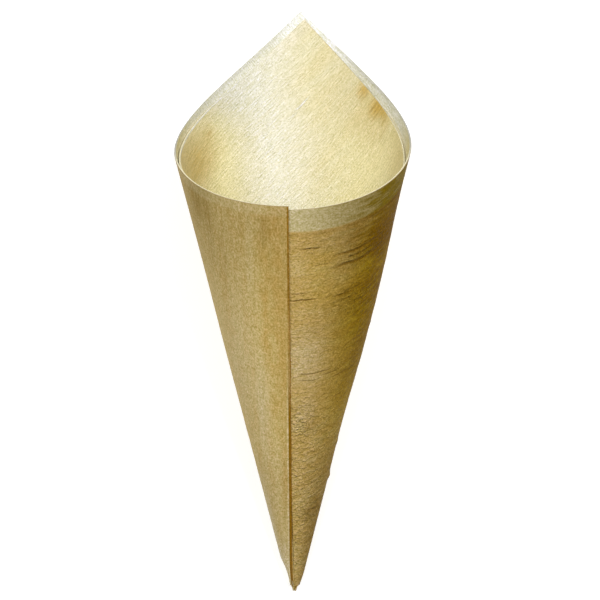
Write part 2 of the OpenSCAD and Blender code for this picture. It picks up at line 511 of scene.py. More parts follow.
CRACKS = (
    (-26.0, 115.6, 14.0, 0.42, 1.00),
    (-23.0, 114.0, 6.0, 0.26, 0.80),
    (-25.0, 112.3, 14.0, 0.42, 1.00),
    (-35.0, 113.6, 7.0, 0.30, 0.70),
    (-31.0, 117.2, 7.0, 0.24, 0.60),
    (-20.0, 104.2, 5.0, 0.26, 0.55),
    (-24.0, 99.4, 5.5, 0.26, 0.50),
    (-31.0, 101.0, 6.0, 0.26, 0.45),
    (-7.5, 118.9, 3.6, 0.18, 0.75),
    (-10.5, 114.0, 3.0, 0.18, 0.40),
    (-3.8, 105.9, 3.5, 0.18, 0.50),
    (-5.0, 103.9, 5.0, 0.20, 0.80),
    (-17.5, 103.6, 4.2, 0.30, 0.80),
    (-19.0, 101.9, 4.0, 0.26, 0.60),
    (-8.5, 81.2, 6.5, 0.16, 0.55),
    (-13.5, 79.9, 5.5, 0.16, 0.50),
    (-17.0, 77.9, 4.0, 0.20, 0.60),
    (-6.5, 79.2, 4.0, 0.14, 0.40),
    (-16.5, 71.0, 4.0, 0.20, 0.45),
    (-9.0, 62.0, 4.5, 0.20, 0.30),
    (-6.0, 44.5, 3.6, 0.20, 0.45),
)

FLECKS = (
    (124.5, 99.6, 3.0, 0.22, 0.60),
    (125.0, 98.0, 3.6, 0.30, 0.75),
    (124.0, 96.6, 3.0, 0.22, 0.65),
    (125.5, 93.4, 3.5, 0.24, 0.60),
    (124.6, 91.6, 4.0, 0.34, 0.90),
    (126.0, 90.2, 3.2, 0.30, 0.95),
    (124.0, 89.0, 4.2, 0.26, 0.80),
    (125.6, 87.6, 3.0, 0.22, 0.60),
    (125.0, 84.4, 3.4, 0.24, 0.50),
    (122.0, 82.2, 4.0, 0.22, 0.40),
    (77.5, 124.4, 1.6, 0.50, 0.70),
    (72.0, 121.6, 2.0, 0.30, 0.40),
)

WRINKLES = (
    (108.4, 110.9, 4.0, 0.24, 1.00),
    (104.2, 110.0, 2.6, 0.18, 0.60),
    (97.0, 113.6, 3.0, 0.14, 0.40),
)


def stain_values(kind, at):
    """Sum of the soft patches of one kind, on both faces, at each point of the sheet.

    A row of STAINS holds a patch's middle, half its length and half its width in millimetres and
    its depth: depth * bell of the distance, measured in half lengths along and across the grain.
    """
    total = np.zeros_like(at.x)
    for x, y, along, across, depth in STAINS[kind]:
        total += depth * bump(np.hypot((at.x - x * MM) / (along * MM), (at.y - y * MM) / (across * MM)))
    return np.clip(total, 0, 1)


def cap_faces(shell, column, count, flip):
    """The cut edge at one end of the sheet: a strip of quads between the outer and the inner face."""
    rows, thick = shell.ROWS, len(shell.EDGE_FACES)
    outer = column[:rows]
    rim = column[rows:rows + thick]
    inner = column[rows + thick:2 * rows + thick][::-1]
    tip = column[2 * rows + thick:][::-1]
    inside = count + np.arange((rows - 2) * thick).reshape(rows - 2, thick)
    middle = np.vstack([tip, inside, rim])
    index = np.column_stack([outer, middle, inner])
    quads = grid_quads(rows, thick + 2, index, False)
    return quads[:, ::-1] if flip else quads


def cap_points(shell, station):
    """Points across the cut edge at one end of the sheet."""
    share_rows = shell.face_rows[1:-1, None]
    face = np.array(shell.EDGE_FACES)[None, :]
    share_rows, face = np.broadcast_arrays(share_rows, face)
    station = np.full(face.shape, station)
    return shell.surface(station, share_rows, face, np.zeros(face.shape))


def roll_veneer(roll):
    """The veneer's mesh: rings of points round the straight lines, with a cap at each end of the sheet."""
    shell = Shell(roll)
    station = shell.stations[:, None]
    station, row_share, face, rim = np.broadcast_arrays(
        station, shell.ring_share[None], shell.ring_face[None], shell.ring_rim[None]
    )
    parts = [shell.surface(station, row_share, face, rim)]
    lines, ring = station.shape
    index = np.arange(lines * ring).reshape(lines, ring)
    quads = [grid_quads(lines, ring, index, True)]
    count = lines * ring
    for column, end, flip in ((index[0], shell.stations[0], False), (index[-1], shell.stations[-1], True)):
        parts.append(cap_points(shell, end))
        quads.append(cap_faces(shell, column, count, flip))
        count += (shell.ROWS - 2) * len(shell.EDGE_FACES)
    place, x, y, az, along, face = (
        np.concatenate([part[k].reshape(-1, 3) if k == 0 else part[k].ravel() for part in parts])
        for k in range(6)
    )
    cap_count = len(quads[1]) + len(quads[2])
    ring_kind = ring_materials(shell, lines)
    kinds = np.concatenate([ring_kind, np.full(cap_count, CUT_EDGE)])
    return place, np.concatenate(quads), kinds, (x, y, az, along, face)


def ring_materials(shell, lines):
    """Which material each quad round the rings has: outer face, inner face or cut edge."""
    rows, thick = shell.ROWS, len(shell.EDGE_FACES)
    ring = np.full(2 * (rows + thick), CUT_EDGE)
    ring[:rows - 1] = OUTSIDE
    ring[rows + thick:2 * rows + thick - 1] = INSIDE
    return np.tile(ring, lines - 1)


def seat_in_cad_box(roll):
    """Finds the shift that lays the smooth roll in the solid's box, middle on middle and foot on foot."""
    shell = Shell(roll)
    station, row_share = np.meshgrid(shell.stations, shell.face_rows, indexing="ij")
    along = roll.line_tip(station) + (roll.line_top(station) - roll.line_tip(station)) * row_share
    az = roll.azimuth(roll.leaned(station, along))
    points = roll.place(az, along, roll.pitch * roll.turns_in(az)).reshape(-1, 3)
    low, high = points.min(0), points.max(0)
    cad_low, cad_high = (np.array(corner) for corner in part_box(NODE))
    shift = (low + high) / 2 - (cad_low + cad_high) / 2
    shift[2] = low[2] - cad_low[2]
    roll.base = shift


SHEET_SPAN = 0.30
ROLLING_POINT = (0.5, 0.0)
ALONG, ACROSS = range(2)
SAPWOOD_FROM = 124.2
FLAP_END = -130.0


class Pattern:
    """Noise on the sheet: its grain along and across in millimetres, its own layer, and its build-up."""

    def __init__(self, along, across, layer, detail=2.0, roughness=0.5, distortion=0.0):
        self.along, self.across, self.layer = along, across, layer
        self.detail, self.roughness, self.distortion = detail, roughness, distortion


OUTER_SPECKLE = Pattern(0.62, 0.52, layer=7, roughness=0.7)
PEBBLES = Pattern(1.7, 1.2, layer=9, roughness=0.6)
CRUMPLES = Pattern(1.5, 1.1, layer=17, roughness=0.55, distortion=0.9)
STREAKS = Pattern(70, 2.6, layer=3, distortion=0.2)
CLOUDS = Pattern(26, 9, layer=11, detail=3.0, roughness=0.55, distortion=0.5)
MOTTLE = Pattern(4.5, 3.0, layer=19, roughness=0.6)
INNER_SPECKLE = Pattern(0.62, 0.48, layer=47, roughness=0.65)
FIBRES = Pattern(4.0, 0.40, layer=45, roughness=0.6)
BROAD_BANDS = Pattern(75, 10, layer=43, detail=3.0, roughness=0.55, distortion=0.3)
CUT_FIBRES = Pattern(0.5, 0.5, layer=31, detail=3.0, roughness=0.7)
STRIP_DRIFT = Pattern(30, 6, layer=21)
MARK_DRIFT = Pattern(6.0, 9.0, layer=27)


class Tree:
    """Short calls that add nodes to a node tree."""

    def __init__(self, tree):
        self.nodes = tree.nodes
        self.links = tree.links

    def add(self, kind, inputs=(), **settings):
        """Adds a node, sets its options, and sets or links its inputs by name or number."""
        node = self.nodes.new(kind)
        for key, value in settings.items():
            setattr(node, key, value)
        for key, value in dict(inputs).items():
            self.feed(node.inputs[key], value)
        return node

    def feed(self, socket, value):
        """Links a socket to another node's output, or sets its plain value or colour."""
        if isinstance(value, bpy.types.NodeSocket):
            self.links.new(value, socket)
        elif hasattr(value, "__len__"):
            values = tuple(value)
            socket.default_value = values if len(values) == len(socket.default_value) else (*values, 1.0)
        else:
            socket.default_value = value

    def math(self, operation, *values, clamp=False):
        """One Math node."""
        node = self.add("ShaderNodeMath", dict(enumerate(values)), operation=operation, use_clamp=clamp)
        return node.outputs[0]

    def times(self, a, b):
        """The product of two values."""
        return self.math("MULTIPLY", a, b)

    def off(self, value, place):
        """How far a value lies from a place, either way."""
        return self.math("ABSOLUTE", self.math("SUBTRACT", value, place))

    def mix(self, factor, a, b, blend="MIX"):
        """One Mix node for colours."""
        node = self.add("ShaderNodeMix", data_type="RGBA", blend_type=blend, clamp_factor=True)
        self.feed(node.inputs["Factor"], factor)
        self.feed(node.inputs[6], a)
        self.feed(node.inputs[7], b)
        return node.outputs[2]

    def mix_value(self, factor, a, b):
        """One Mix node for plain numbers."""
        node = self.add("ShaderNodeMix", {0: factor, 2: a, 3: b}, data_type="FLOAT", clamp_factor=True)
        return node.outputs[0]

    def span(self, value, start, end, at_start=0.0, at_end=1.0):
        """Goes smoothly from at_start to at_end while a value goes from start to end, and stays there."""
        node = self.add("ShaderNodeMapRange", interpolation_type="SMOOTHSTEP")
        for socket, number in zip(node.inputs, (value, start, end, at_start, at_end)):
            self.feed(socket, number)
        return node.outputs[0]

    def point_value(self, name):
        """The number kept for each point of the mesh."""
        return self.add("ShaderNodeAttribute", attribute_name=name).outputs["Fac"]

    def sheet_map(self):
        """The sheet's own flat coordinates."""
        return self.add("ShaderNodeUVMap", uv_map="sheet").outputs[0]

    def sheet_distance(self, axis):
        """Millimetres from the rolling point, ALONG the grain or ACROSS it."""
        part = self.add("ShaderNodeSeparateXYZ", {"Vector": self.sheet_map()}).outputs[axis]
        return self.times(self.math("SUBTRACT", part, ROLLING_POINT[axis]), SHEET_SPAN / MM)

    def noise(self, pattern):
        """A pattern's noise in sheet coordinates, from 0 to 1."""
        scale = (SHEET_SPAN / MM / pattern.along, SHEET_SPAN / MM / pattern.across, 1.0)
        place = {"Vector": self.sheet_map(), "Location": (0.0, 0.0, pattern.layer), "Scale": scale}
        inputs = {
            "Vector": self.add("ShaderNodeMapping", place).outputs[0],
            "Scale": 1.0,
            "Detail": pattern.detail,
            "Roughness": pattern.roughness,
            "Distortion": pattern.distortion,
        }
        return self.add("ShaderNodeTexNoise", inputs).outputs["Fac"]

    def marks(self, lines):
        """Thin marks along the grain, in millimetres: middle, half length, half width and depth.

        A mark is full up to FULL_TO half widths and gone at GONE_AT, tapers off from TAPER_FROM of
        its half length, and sways with a noise that is SWAY millimetres from end to end.
        """
        along = self.sheet_distance(ALONG)
        drift = self.math("SUBTRACT", self.noise(MARK_DRIFT), 0.5)
        across = self.math("MULTIPLY_ADD", drift, SWAY, self.sheet_distance(ACROSS))
        total = 0.0
        for x, y, reach, width, depth in lines:
            taper = self.span(self.off(along, x), TAPER_FROM * reach, reach, depth, 0.0)
            line = self.span(self.off(across, y), FULL_TO * width, GONE_AT * width, 1.0, 0.0)
            total = self.math("MAXIMUM", total, self.times(taper, line))
        return total

    def toned(self, base, tones):
        """The base colour times each tone, with blue squared: (noise, low, high, darkest, lightest)."""
        total = 1.0
        for noise, low, high, darkest, lightest in tones:
            total = self.times(total, self.span(noise, low, high, darkest, lightest))
        channels = {"Red": total, "Green": total, "Blue": self.times(total, total)}
        tone = self.add("ShaderNodeCombineColor", channels).outputs[0]
        return self.mix(1.0, base, tone, "MULTIPLY")

    def raised(self, heights, distance):
        """Bump from a sum of heights: (height, factor)."""
        total = 0.0
        for height, factor in heights:
            total = self.math("MULTIPLY_ADD", height, factor, total)
        return self.add("ShaderNodeBump", {"Height": total, "Strength": 1.0, "Distance": distance}).outputs[0]


class MaterialTree(Tree):
    """The nodes of one new material."""

    def __init__(self, name):
        self.material = bpy.data.materials.new(name)
        self.material.use_nodes = True
        super().__init__(self.material.node_tree)
        self.shader = self.nodes["Principled BSDF"]
        self.output = self.nodes["Material Output"]

    def finish(self, base, roughness, gloss, bump_map=None):
        """Sets the shader's colour, roughness, gloss and bump, and gives the material."""
        self.feed(self.shader.inputs["Base Color"], base)
        self.feed(self.shader.inputs["Roughness"], roughness)
        self.shader.inputs["Specular IOR Level"].default_value = gloss
        if bump_map is not None:
            self.feed(self.shader.inputs["Normal"], bump_map)
        return self.material


def stained(tree, base, kind, tint, layer, blend="MIX"):
    """The base colour with one kind of patch laid over it, a little broken up along the grain."""
    grain = tree.noise(Pattern(7, 0.9, layer, detail=4.0, roughness=0.65))
    broken = tree.span(grain, 0.25, 0.75, at_start=0.76, at_end=1.20)
    amount = tree.math("MULTIPLY", tree.point_value(kind), broken, clamp=True)
    return tree.mix(amount, base, tint, blend)


def sapwood_strip(tree, base, colours):
    """The pale strip along the sheet's long edge, with a dark line under it."""
    drifting = tree.math("MULTIPLY_ADD", tree.noise(STRIP_DRIFT), 1.2, tree.sheet_distance(ACROSS))
    strip = tree.span(drifting, SAPWOOD_FROM + 0.25, SAPWOOD_FROM + 1.1)
    on_right = tree.span(tree.sheet_distance(ALONG), start=-60.0, end=-50.0)
    base = tree.mix(tree.times(strip, on_right), base, colours.sapwood)
    under = tree.off(drifting, SAPWOOD_FROM - 0.2)
    line = tree.span(under, start=0.1, end=0.9, at_start=0.22, at_end=0.0)
    return tree.mix(line, base, colours.dark_line_and_shade)


def flap_line(tree, base, colours):
    """The flap's own edge: soaked dark by the glue, and near the mouth painted dark as the step's shade, with
    a paler line beside it towards the tip, a painted highlight on the edge's corner.
    """
    along, across = tree.sheet_distance(ALONG), tree.sheet_distance(ACROSS)
    # Near the mouth the dark edge is painted shade of the step; towards the tip it is glue.
    upper = tree.span(along, start=-106.0, end=-98.0, at_start=0.85, at_end=0.50)
    lower = tree.span(along, start=-92.0, end=-68.0)
    edge = tree.span(across, start=0.34, end=0.66, at_start=1.0, at_end=0.0)
    # A painted highlight beside the edge, where its corner catches light.
    beside = tree.span(across, start=0.7, end=1.1, at_start=0.26, at_end=0.0)
    base = tree.mix(tree.times(beside, lower), base, colours.cut_edge)
    return tree.mix(tree.times(edge, tree.math("MAXIMUM", upper, lower)), base, colours.glue)


def outside_warmth(tree):
    """How brown the outside is: by place, with streaks, clouds and mottling."""
    warmth = tree.point_value("warm")
    swings = ((STREAKS, 0.35, -0.10, 0.22), (CLOUDS, 0.38, -0.12, 0.20), (MOTTLE, 0.35, -0.22, 0.28))
    for pattern, low, least, most in swings:
        swing = tree.span(tree.noise(pattern), low, 0.68, least, most)
        warmth = tree.math("ADD", warmth, swing)
    return warmth


def outside_face(colours):
    """The face that shows outside: speckled and a little dirty, crumpled and split on the right wall, with
    painted shade on that wall and painted highlight and shade on the crumples.
    """
    tree = MaterialTree("veneer_outside")
    speckle, pebbles, crumples = map(tree.noise, (OUTER_SPECKLE, PEBBLES, CRUMPLES))
    creased = tree.point_value("creased")
    cracks = tree.marks(CRACKS)

    base = tree.mix(outside_warmth(tree), colours.outside, colours.outside_warm)
    # Paler patches, some of them painted highlights.
    base = stained(tree, base, "bleached", colours.bleach, 13)
    base = sapwood_strip(tree, base, colours)
    # Real stains multiplied in, with the right wall's painted shade.
    base = stained(tree, base, "brown", colours.stain_and_shade, 15, "MULTIPLY")
    base = tree.mix(tree.point_value("yellowed"), base, colours.yellowing, "MULTIPLY")
    end = tree.span(tree.sheet_distance(ALONG), FLAP_END + 0.6, FLAP_END + 1.8, at_start=0.25, at_end=0.0)
    base = tree.mix(end, base, colours.sapwood)
    base = flap_line(tree, base, colours)
    base = tree.mix(tree.times(cracks, 0.88), base, colours.dark_line_and_shade)
    tones = (
        (speckle, 0.28, 0.72, 0.74, 1.23),
        (pebbles, 0.30, 0.70, 0.90, 1.09),
        # Crumples painted lighter on their crests and darker in their troughs: painted highlight and shade.
        (tree.mix_value(creased, 0.5, crumples), 0.28, 0.72, 0.83, 1.17),
    )
    heights = (
        (speckle, 0.7),
        (tree.times(pebbles, tree.math("MULTIPLY_ADD", creased, 1.6, 0.7)), 1.0),
        (tree.times(crumples, tree.math("MULTIPLY_ADD", creased, 6.6, 0.3)), 1.0),
        (cracks, -2.2),
    )
    roughness = tree.span(pebbles, 0.3, 0.7, at_start=0.46, at_end=0.60)
    bump_map = tree.raised(heights, distance=0.13 * MM)
    return tree.finish(tree.toned(base, tones), roughness, gloss=0.01, bump_map=bump_map)


def end_line(tree, base, colours):
    """The thin dark line along the sheet's slanting inner end, where the cut tore it a little."""
    across = tree.sheet_distance(ACROSS)
    slant = tree.math("MULTIPLY_ADD", across, 0.0244, 124.5)
    from_end = tree.math("SUBTRACT", slant, tree.sheet_distance(ALONG))
    line = tree.span(from_end, start=0.12, end=0.50, at_start=0.65, at_end=0.0)
    reach = tree.span(across, start=66.0, end=80.0)
    return tree.mix(tree.times(line, reach), base, deeper(colours.ochre))


def rim_line(tree, base, colours):
    """The greyed line along the rim of the single ply, on both sides of the peak."""
    left = tree.span(tree.sheet_distance(ALONG), start=-129.95, end=-129.55, at_start=0.65, at_end=0.0)
    right = tree.span(tree.sheet_distance(ACROSS), start=129.55, end=129.95, at_start=0.0, at_end=0.65)
    line = tree.times(tree.math("MAXIMUM", left, right), tree.point_value("worn_rim"))
    return tree.mix(line, base, colours.old_edge)


def lip_line(tree, base, colours):
    """The pale, slightly furred lip of the inner rim on the left, painted lighter as a highlight where the
    cut edge catches light.
    """
    lip = tree.span(tree.sheet_distance(ACROSS), start=129.35, end=129.75, at_start=0.0, at_end=0.9)
    return tree.mix(tree.times(lip, tree.point_value("lip")), base, colours.peak)


def thin_margin(tree, past_rim, colours):
    """The margin of the single ply: pale with painted light through the ply, whiter with a painted highlight
    at the peak, olive at its ends, with a painted glow inside.
    """
    # Painted light through the thin ply, whitest at the peak as a painted highlight.
    margin = tree.mix(tree.point_value("peak"), colours.single_ply, colours.peak)
    margin = tree.mix(tree.point_value("olive"), margin, colours.inside_warm)
    near = tree.span(past_rim, start=0.3, end=1.2, at_start=0.6, at_end=0.0)
    margin = tree.mix(tree.times(near, tree.point_value("sideways")), margin, colours.glowing)
    return rim_line(tree, margin, colours)


def inside_face(colours):
    """The face that shows inside: planed smooth, with short fine fibres that glint, a paler band of painted
    sheen, and a thin pale margin painted with light shining through it.
    """
    tree = MaterialTree("veneer_inside")
    broad, fibres, speckle = map(tree.noise, (BROAD_BANDS, FIBRES, INNER_SPECKLE))
    wrinkles = tree.marks(WRINKLES)

    base = tree.mix(tree.span(broad, 0.34, 0.68, 0.0, 0.8), colours.inside, colours.inside_warm)
    edge = tree.span(tree.sheet_distance(ACROSS), start=125.4, end=127.6, at_start=0.0, at_end=0.45)
    base = tree.mix(edge, base, colours.bleach)
    base = tree.mix(tree.point_value("bright"), base, colours.bright_inside)
    # Painted sheen: a paler band down the inside's back.
    base = stained(tree, base, "bleached", colours.painted_sheen, 51)
    base = stained(tree, base, "ochre", colours.ochre, 53)
    base = tree.mix(tree.times(tree.marks(FLECKS), 0.7), base, deeper(colours.ochre))
    # Pale wrinkle crests: a painted highlight.
    base = tree.mix(tree.times(wrinkles, 0.8), base, colours.peak)
    base = end_line(tree, base, colours)
    base = lip_line(tree, base, colours)
    past_rim = tree.point_value("past_rim")
    base = tree.mix(tree.span(past_rim, -0.15, 0.15), base, thin_margin(tree, past_rim, colours))
    tones = (
        (speckle, 0.28, 0.72, 0.80, 1.17),
        (fibres, 0.28, 0.72, 0.83, 1.13),
    )
    heights = ((fibres, 1.3), (speckle, 1.1), (wrinkles, 0.9))
    roughness = tree.span(speckle, 0.3, 0.7, at_start=0.30, at_end=0.42)
    bump_map = tree.raised(heights, distance=0.15 * MM)
    return tree.finish(tree.toned(base, tones), roughness, gloss=0.9, bump_map=bump_map)


def deeper(tint):
    """A colour a fifth darker."""
    return [channel * 0.8 for channel in tint]


def cut_edge_material(colours):
    """The cut edge: pale and rough, browner towards the outer face in front, which is painted shade, and
    greyed at the back.
    """
    tree = MaterialTree("veneer_cut_edge")
    fibres = tree.noise(CUT_FIBRES)
    base = tree.mix(tree.span(fibres, 0.35, 0.65), deeper(colours.cut_edge), colours.cut_edge)
    base = tree.mix(tree.point_value("old_edge"), base, colours.old_edge)
    # Painted shade on the outer half of the cut edge in front.
    outer = tree.span(tree.point_value("depth"), start=0.15, end=0.6, at_start=0.85, at_end=0.0)
    base = tree.mix(tree.times(outer, tree.point_value("dirty_edge")), base, colours.dark_line_and_shade)
    relief = tree.add("ShaderNodeBump", {"Height": fibres, "Strength": 0.6, "Distance": 0.05 * MM})
    return tree.finish(base, roughness=0.75, gloss=0.3, bump_map=relief.outputs[0])


def glue_material(colours):
    """Dried glue: brown, half glossy and slightly uneven."""
    tree = MaterialTree("dried_glue")
    place = tree.add("ShaderNodeTexCoord").outputs["Object"]
    lumps = tree.add("ShaderNodeTexNoise", {"Vector": place, "Scale": 900.0, "Detail": 3.0}).outputs["Fac"]
    light = [channel * 1.5 for channel in colours.glue]
    base = tree.mix(tree.span(lumps, 0.35, 0.7), colours.glue, light)
    return tree.finish(base, roughness=0.50, gloss=0.1)


def veneer_materials(colours):
    """The veneer's three materials, in the order of OUTSIDE, INSIDE and CUT_EDGE."""
    return [outside_face(colours), inside_face(colours), cut_edge_material(colours)]


FAR_FROM_RIM = 20


class Places:
    """Where each point of the veneer lies.

    x and y are the sheet's own coordinates in metres, and all else is in millimetres and degrees.
    front is the azimuth from the seam, positive to the right, and around the same from 0 to 360,
    with the back at 180. across and along are measured on the sheet, from its long edge and from
    the rolling point.
    """

    BACK = 180

    def __init__(self, roll, x, y, az, along, face):
        self.x, self.y, self.face = x, y, face
        self.across, self.along = y / MM, along / MM
        self.past_tip = (along - roll.inner_tip) / MM
        self.past_rim = roll.margin(az, along) / MM
        self.around = np.degrees(az % TURN)
        self.front = (self.around + self.BACK) % (2 * self.BACK) - self.BACK
        self.from_back = self.around - self.BACK
        self.aside = np.abs(self.front)
        self.outer = az > roll.azimuth(roll.half)
        self.right = self.outer & (x > -y)
        self.left = self.outer & (x < -y)
        self.beside_seam = 1 - rise(-self.front, start=2, over=26)
        self.in_view = 1 - 0.75 * rise(self.front, start=78, over=42)


RIGHT_WALL = ((0, 0.30), (25, 0.68), (60, 0.44), (75, 0.62), (86, 0.66), (98, 0.86), (106, 0.76), (118, 0.90))


def right_shade(at):
    """How dark the right wall is, partly its own colour and partly painted shade: it grows with front by a
    depth that RIGHT_WALL gives across the grain.

    Two patches at the far right are darker, and towards the rim another growth with front takes over.
    """
    depth = np.interp(at.across, *zip(*RIGHT_WALL))
    shade = 0.05 + depth * rise(at.front, start=-10, over=75)
    shade = shade + 0.25 * rise(at.across, start=106, over=8) * rise(at.front, start=48, over=14)
    shade = shade + 0.13 * band(at.across, middle=81, half=16) * rise(at.front, start=42, over=16)
    near_rim = 0.93 * rise(at.front, start=-20, over=79) + 0.10 * rise(at.front, start=46, over=14)
    shade = shade + (near_rim - shade) * rise(at.across, start=116, over=4)
    return shade * at.in_view * at.right


def left_shade(at):
    """How dark the left wall is: beside the seam, towards the rim and a little near the tip."""
    shade = 0.13 * at.beside_seam
    shade = shade + 0.38 * rise(at.along, start=88, over=42) * (1 - 0.35 * at.beside_seam)
    shade = shade + 0.13 * rise(at.along, start=16, over=6) * (1 - rise(at.along, start=44, over=14))
    return shade * at.left


def yellow_tinge(at):
    """How yellow the outside is: far to the right, under the pale strip, and left of the seam."""
    start = 12 + 20 * rise(at.across, start=100, over=21)
    tinge = rise(at.front, start=start, over=56 - start) * (1 - rise(at.across, start=118, over=7))
    tinge = tinge * (0.95 * rise(at.across, start=34, over=58) - 0.24 * band(at.across, middle=82, half=14))
    brassy = 0.25 * band(at.front, middle=18, half=17)
    brassy = brassy * rise(at.across, start=98, over=7) * (1 - rise(at.across, start=116, over=4))
    golden = 0.11 * band(at.front, middle=-16, half=20)
    golden = golden * rise(at.along, start=52, over=12) * (1 - rise(at.along, start=116, over=12))
    return (tinge * at.in_view + brassy) * at.right + golden * at.left


def sheen_band(at):
    """The painted sheen: a paler band down the inside's back, which leans to the left and widens towards the
    peak.
    """
    near_peak = rise(at.along, start=150, over=12)
    middle = 192 + 18 * rise(at.along, start=145, over=20)
    across = band(at.around, middle=middle, half=34 + 9 * near_peak)
    return (0.8 + 0.2 * near_peak) * across * rise(at.along, start=80, over=60)


def deep_sides(at):
    """The deeper yellow at both sides of the inside, and a little on the right of the peak."""
    left = 0.50 * band(at.around, middle=262, half=42)
    right = 0.40 * band(at.around, middle=94, half=30)
    upper = 0.14 * band(at.around, middle=148, half=26) * rise(at.along, start=142, over=14)
    return left + right + upper


def painted_peak_light(at):
    """How much painted highlight the margin takes: 1 at the back's middle, fading sooner to the left, where a
    weaker patch follows.
    """
    to_right = rise(-at.from_back, start=12, over=24)
    to_left = rise(at.from_back, start=0, over=10)
    patch = 0.40 * band(at.from_back, middle=32, half=18)
    return 1 - np.where(at.from_back < 0, to_right, to_left) + patch


def outside_values(at):
    """What the outside reads at each point, by name: amounts of stains, colours, painted shade and painted
    highlight, from 0 to 1.
    """
    spot = band(at.past_tip, middle=2.1, half=0.9) * band(at.front, middle=2, half=30)
    nib = 1 - rise(at.past_tip, start=0.5, over=0.9)
    worn_left = rise(-at.front, start=46, over=20) * (1 - rise(at.along, start=34, over=22)) * at.left
    crumpled = 0.42 + 0.5 * (1 - rise(at.across, start=52, over=26)) + stain_values("creased", at)
    below_strip = 1 - rise(at.across, start=123.2, over=1.2)
    # Darkening added to the stains; on the right wall it is partly painted shade.
    brown = right_shade(at) + left_shade(at) + 0.9 * spot * at.outer
    # Paler patches outside; inside, the band of painted sheen.
    bleached = np.where(at.outer, 0.8 * nib + 0.45 * worn_left, sheen_band(at))
    return {
        "brown": stain_values("brown", at) + brown,
        "yellowed": yellow_tinge(at),
        "warm": stain_values("warm", at) + np.where(at.right, 0.8, 0.08 + 0.7 * at.beside_seam),
        "bleached": stain_values("bleached", at) + bleached,
        "creased": crumpled * below_strip * at.right,
    }


def inside_values(at):
    """What the inside reads at each point, by name.

    past_rim is in millimetres past the rim of the turn inside, and sideways, olive, peak and
    worn_rim are amounts on the margin there, peak being its painted highlight and sideways its painted glow.
    lip is 1 along the inner rim's left side.
    """
    glow = band(at.around, middle=115, half=52) + band(at.around, middle=229, half=52)
    glow = glow * (1 - rise(at.along, start=136, over=26))
    lip = rise(at.around, start=190, over=22) * (1 - rise(at.around, start=286, over=10))
    olive_from = np.where(at.front < 0, 104, 94)
    return {
        "past_rim": np.clip(np.where(at.outer, at.past_rim, -FAR_FROM_RIM), -FAR_FROM_RIM, FAR_FROM_RIM),
        "peak": painted_peak_light(at),
        "olive": 0.9 * (1 - rise(at.aside, start=olive_from, over=24)),
        "sideways": rise(at.aside, start=60, over=30) * (1 - rise(at.aside, start=118, over=24)),
        "worn_rim": 0.6 * band(at.around, middle=200, half=34) + 0.8 * band(at.around, middle=142, half=32),
        "ochre": stain_values("ochre", at) + np.where(at.outer, 0, deep_sides(at)),
        "bright": np.where(at.outer, 0, glow),
        "lip": np.where(at.outer, 0, lip),
    }


def edge_values(at):
    """What the cut edge reads at each point: depth is 0 at the outer face and 1 at the inner one."""
    behind = rise(at.aside, start=76, over=22)
    return {
        "depth": at.face,
        "old_edge": np.where(at.outer, behind, 0.5 * band(at.around, middle=135, half=45)),
        "dirty_edge": at.outer * (1 - behind),
    }


def keep_sheet_map(mesh, x, y):
    """Lays the sheet's own flat coordinates on the mesh as a UV map, so that the grain follows it."""
    corners = np.zeros(len(mesh.loops), np.int32)
    mesh.loops.foreach_get("vertex_index", corners)
    uv = (np.stack([x, y], -1) / SHEET_SPAN + ROLLING_POINT)[corners]
    mesh.uv_layers.new(name="sheet").uv.foreach_set("vector", uv.astype(np.float32).ravel())


class FOODCONE_OT_roll_veneer(bpy.types.Operator):
    """Roll the sheet of veneer into the cone"""

    bl_idname = "foodcone.roll_veneer"
    bl_label = "Roll Veneer"

    def execute(self, context):
        scene = context.scene
        roll = Roll(scene.cone_sheet)
        seat_in_cad_box(roll)
        points, quads, kinds, sheet = roll_veneer(roll)
        cone = mesh_object("veneer_cone", points, quads)
        mesh = cone.data
        at = Places(roll, *sheet)
        keep_sheet_map(mesh, at.x, at.y)
        for values_of in (outside_values, inside_values, edge_values):
            for name, values in values_of(at).items():
                point_values(mesh, name, values)
        for material in veneer_materials(scene.cone_finish):
            mesh.materials.append(material)
        mesh.polygons.foreach_set("material_index", kinds.astype(np.int32))
        mesh.set_sharp_from_angle(angle=SHARP_FROM)
        mesh.update()
        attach(cone, BODY)
        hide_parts(NODE)
        return {"FINISHED"}


def tube(name, rings):
    """A closed tube from rings of points, with a pole at each end."""
    lines, ring = rings.shape[:2]
    points = np.concatenate([rings.reshape(-1, 3), rings[0].mean(0)[None], rings[-1].mean(0)[None]])
    index = np.arange(lines * ring).reshape(lines, ring)
    first, last = lines * ring, lines * ring + 1
    start = [(first, a, b) for a, b in zip(index[0], np.roll(index[0], -1))]
    end = [(last, b, a) for a, b in zip(index[-1], np.roll(index[-1], -1))]
    return mesh_object(name, points, grid_quads(lines, ring, index, True), [*start, *end])


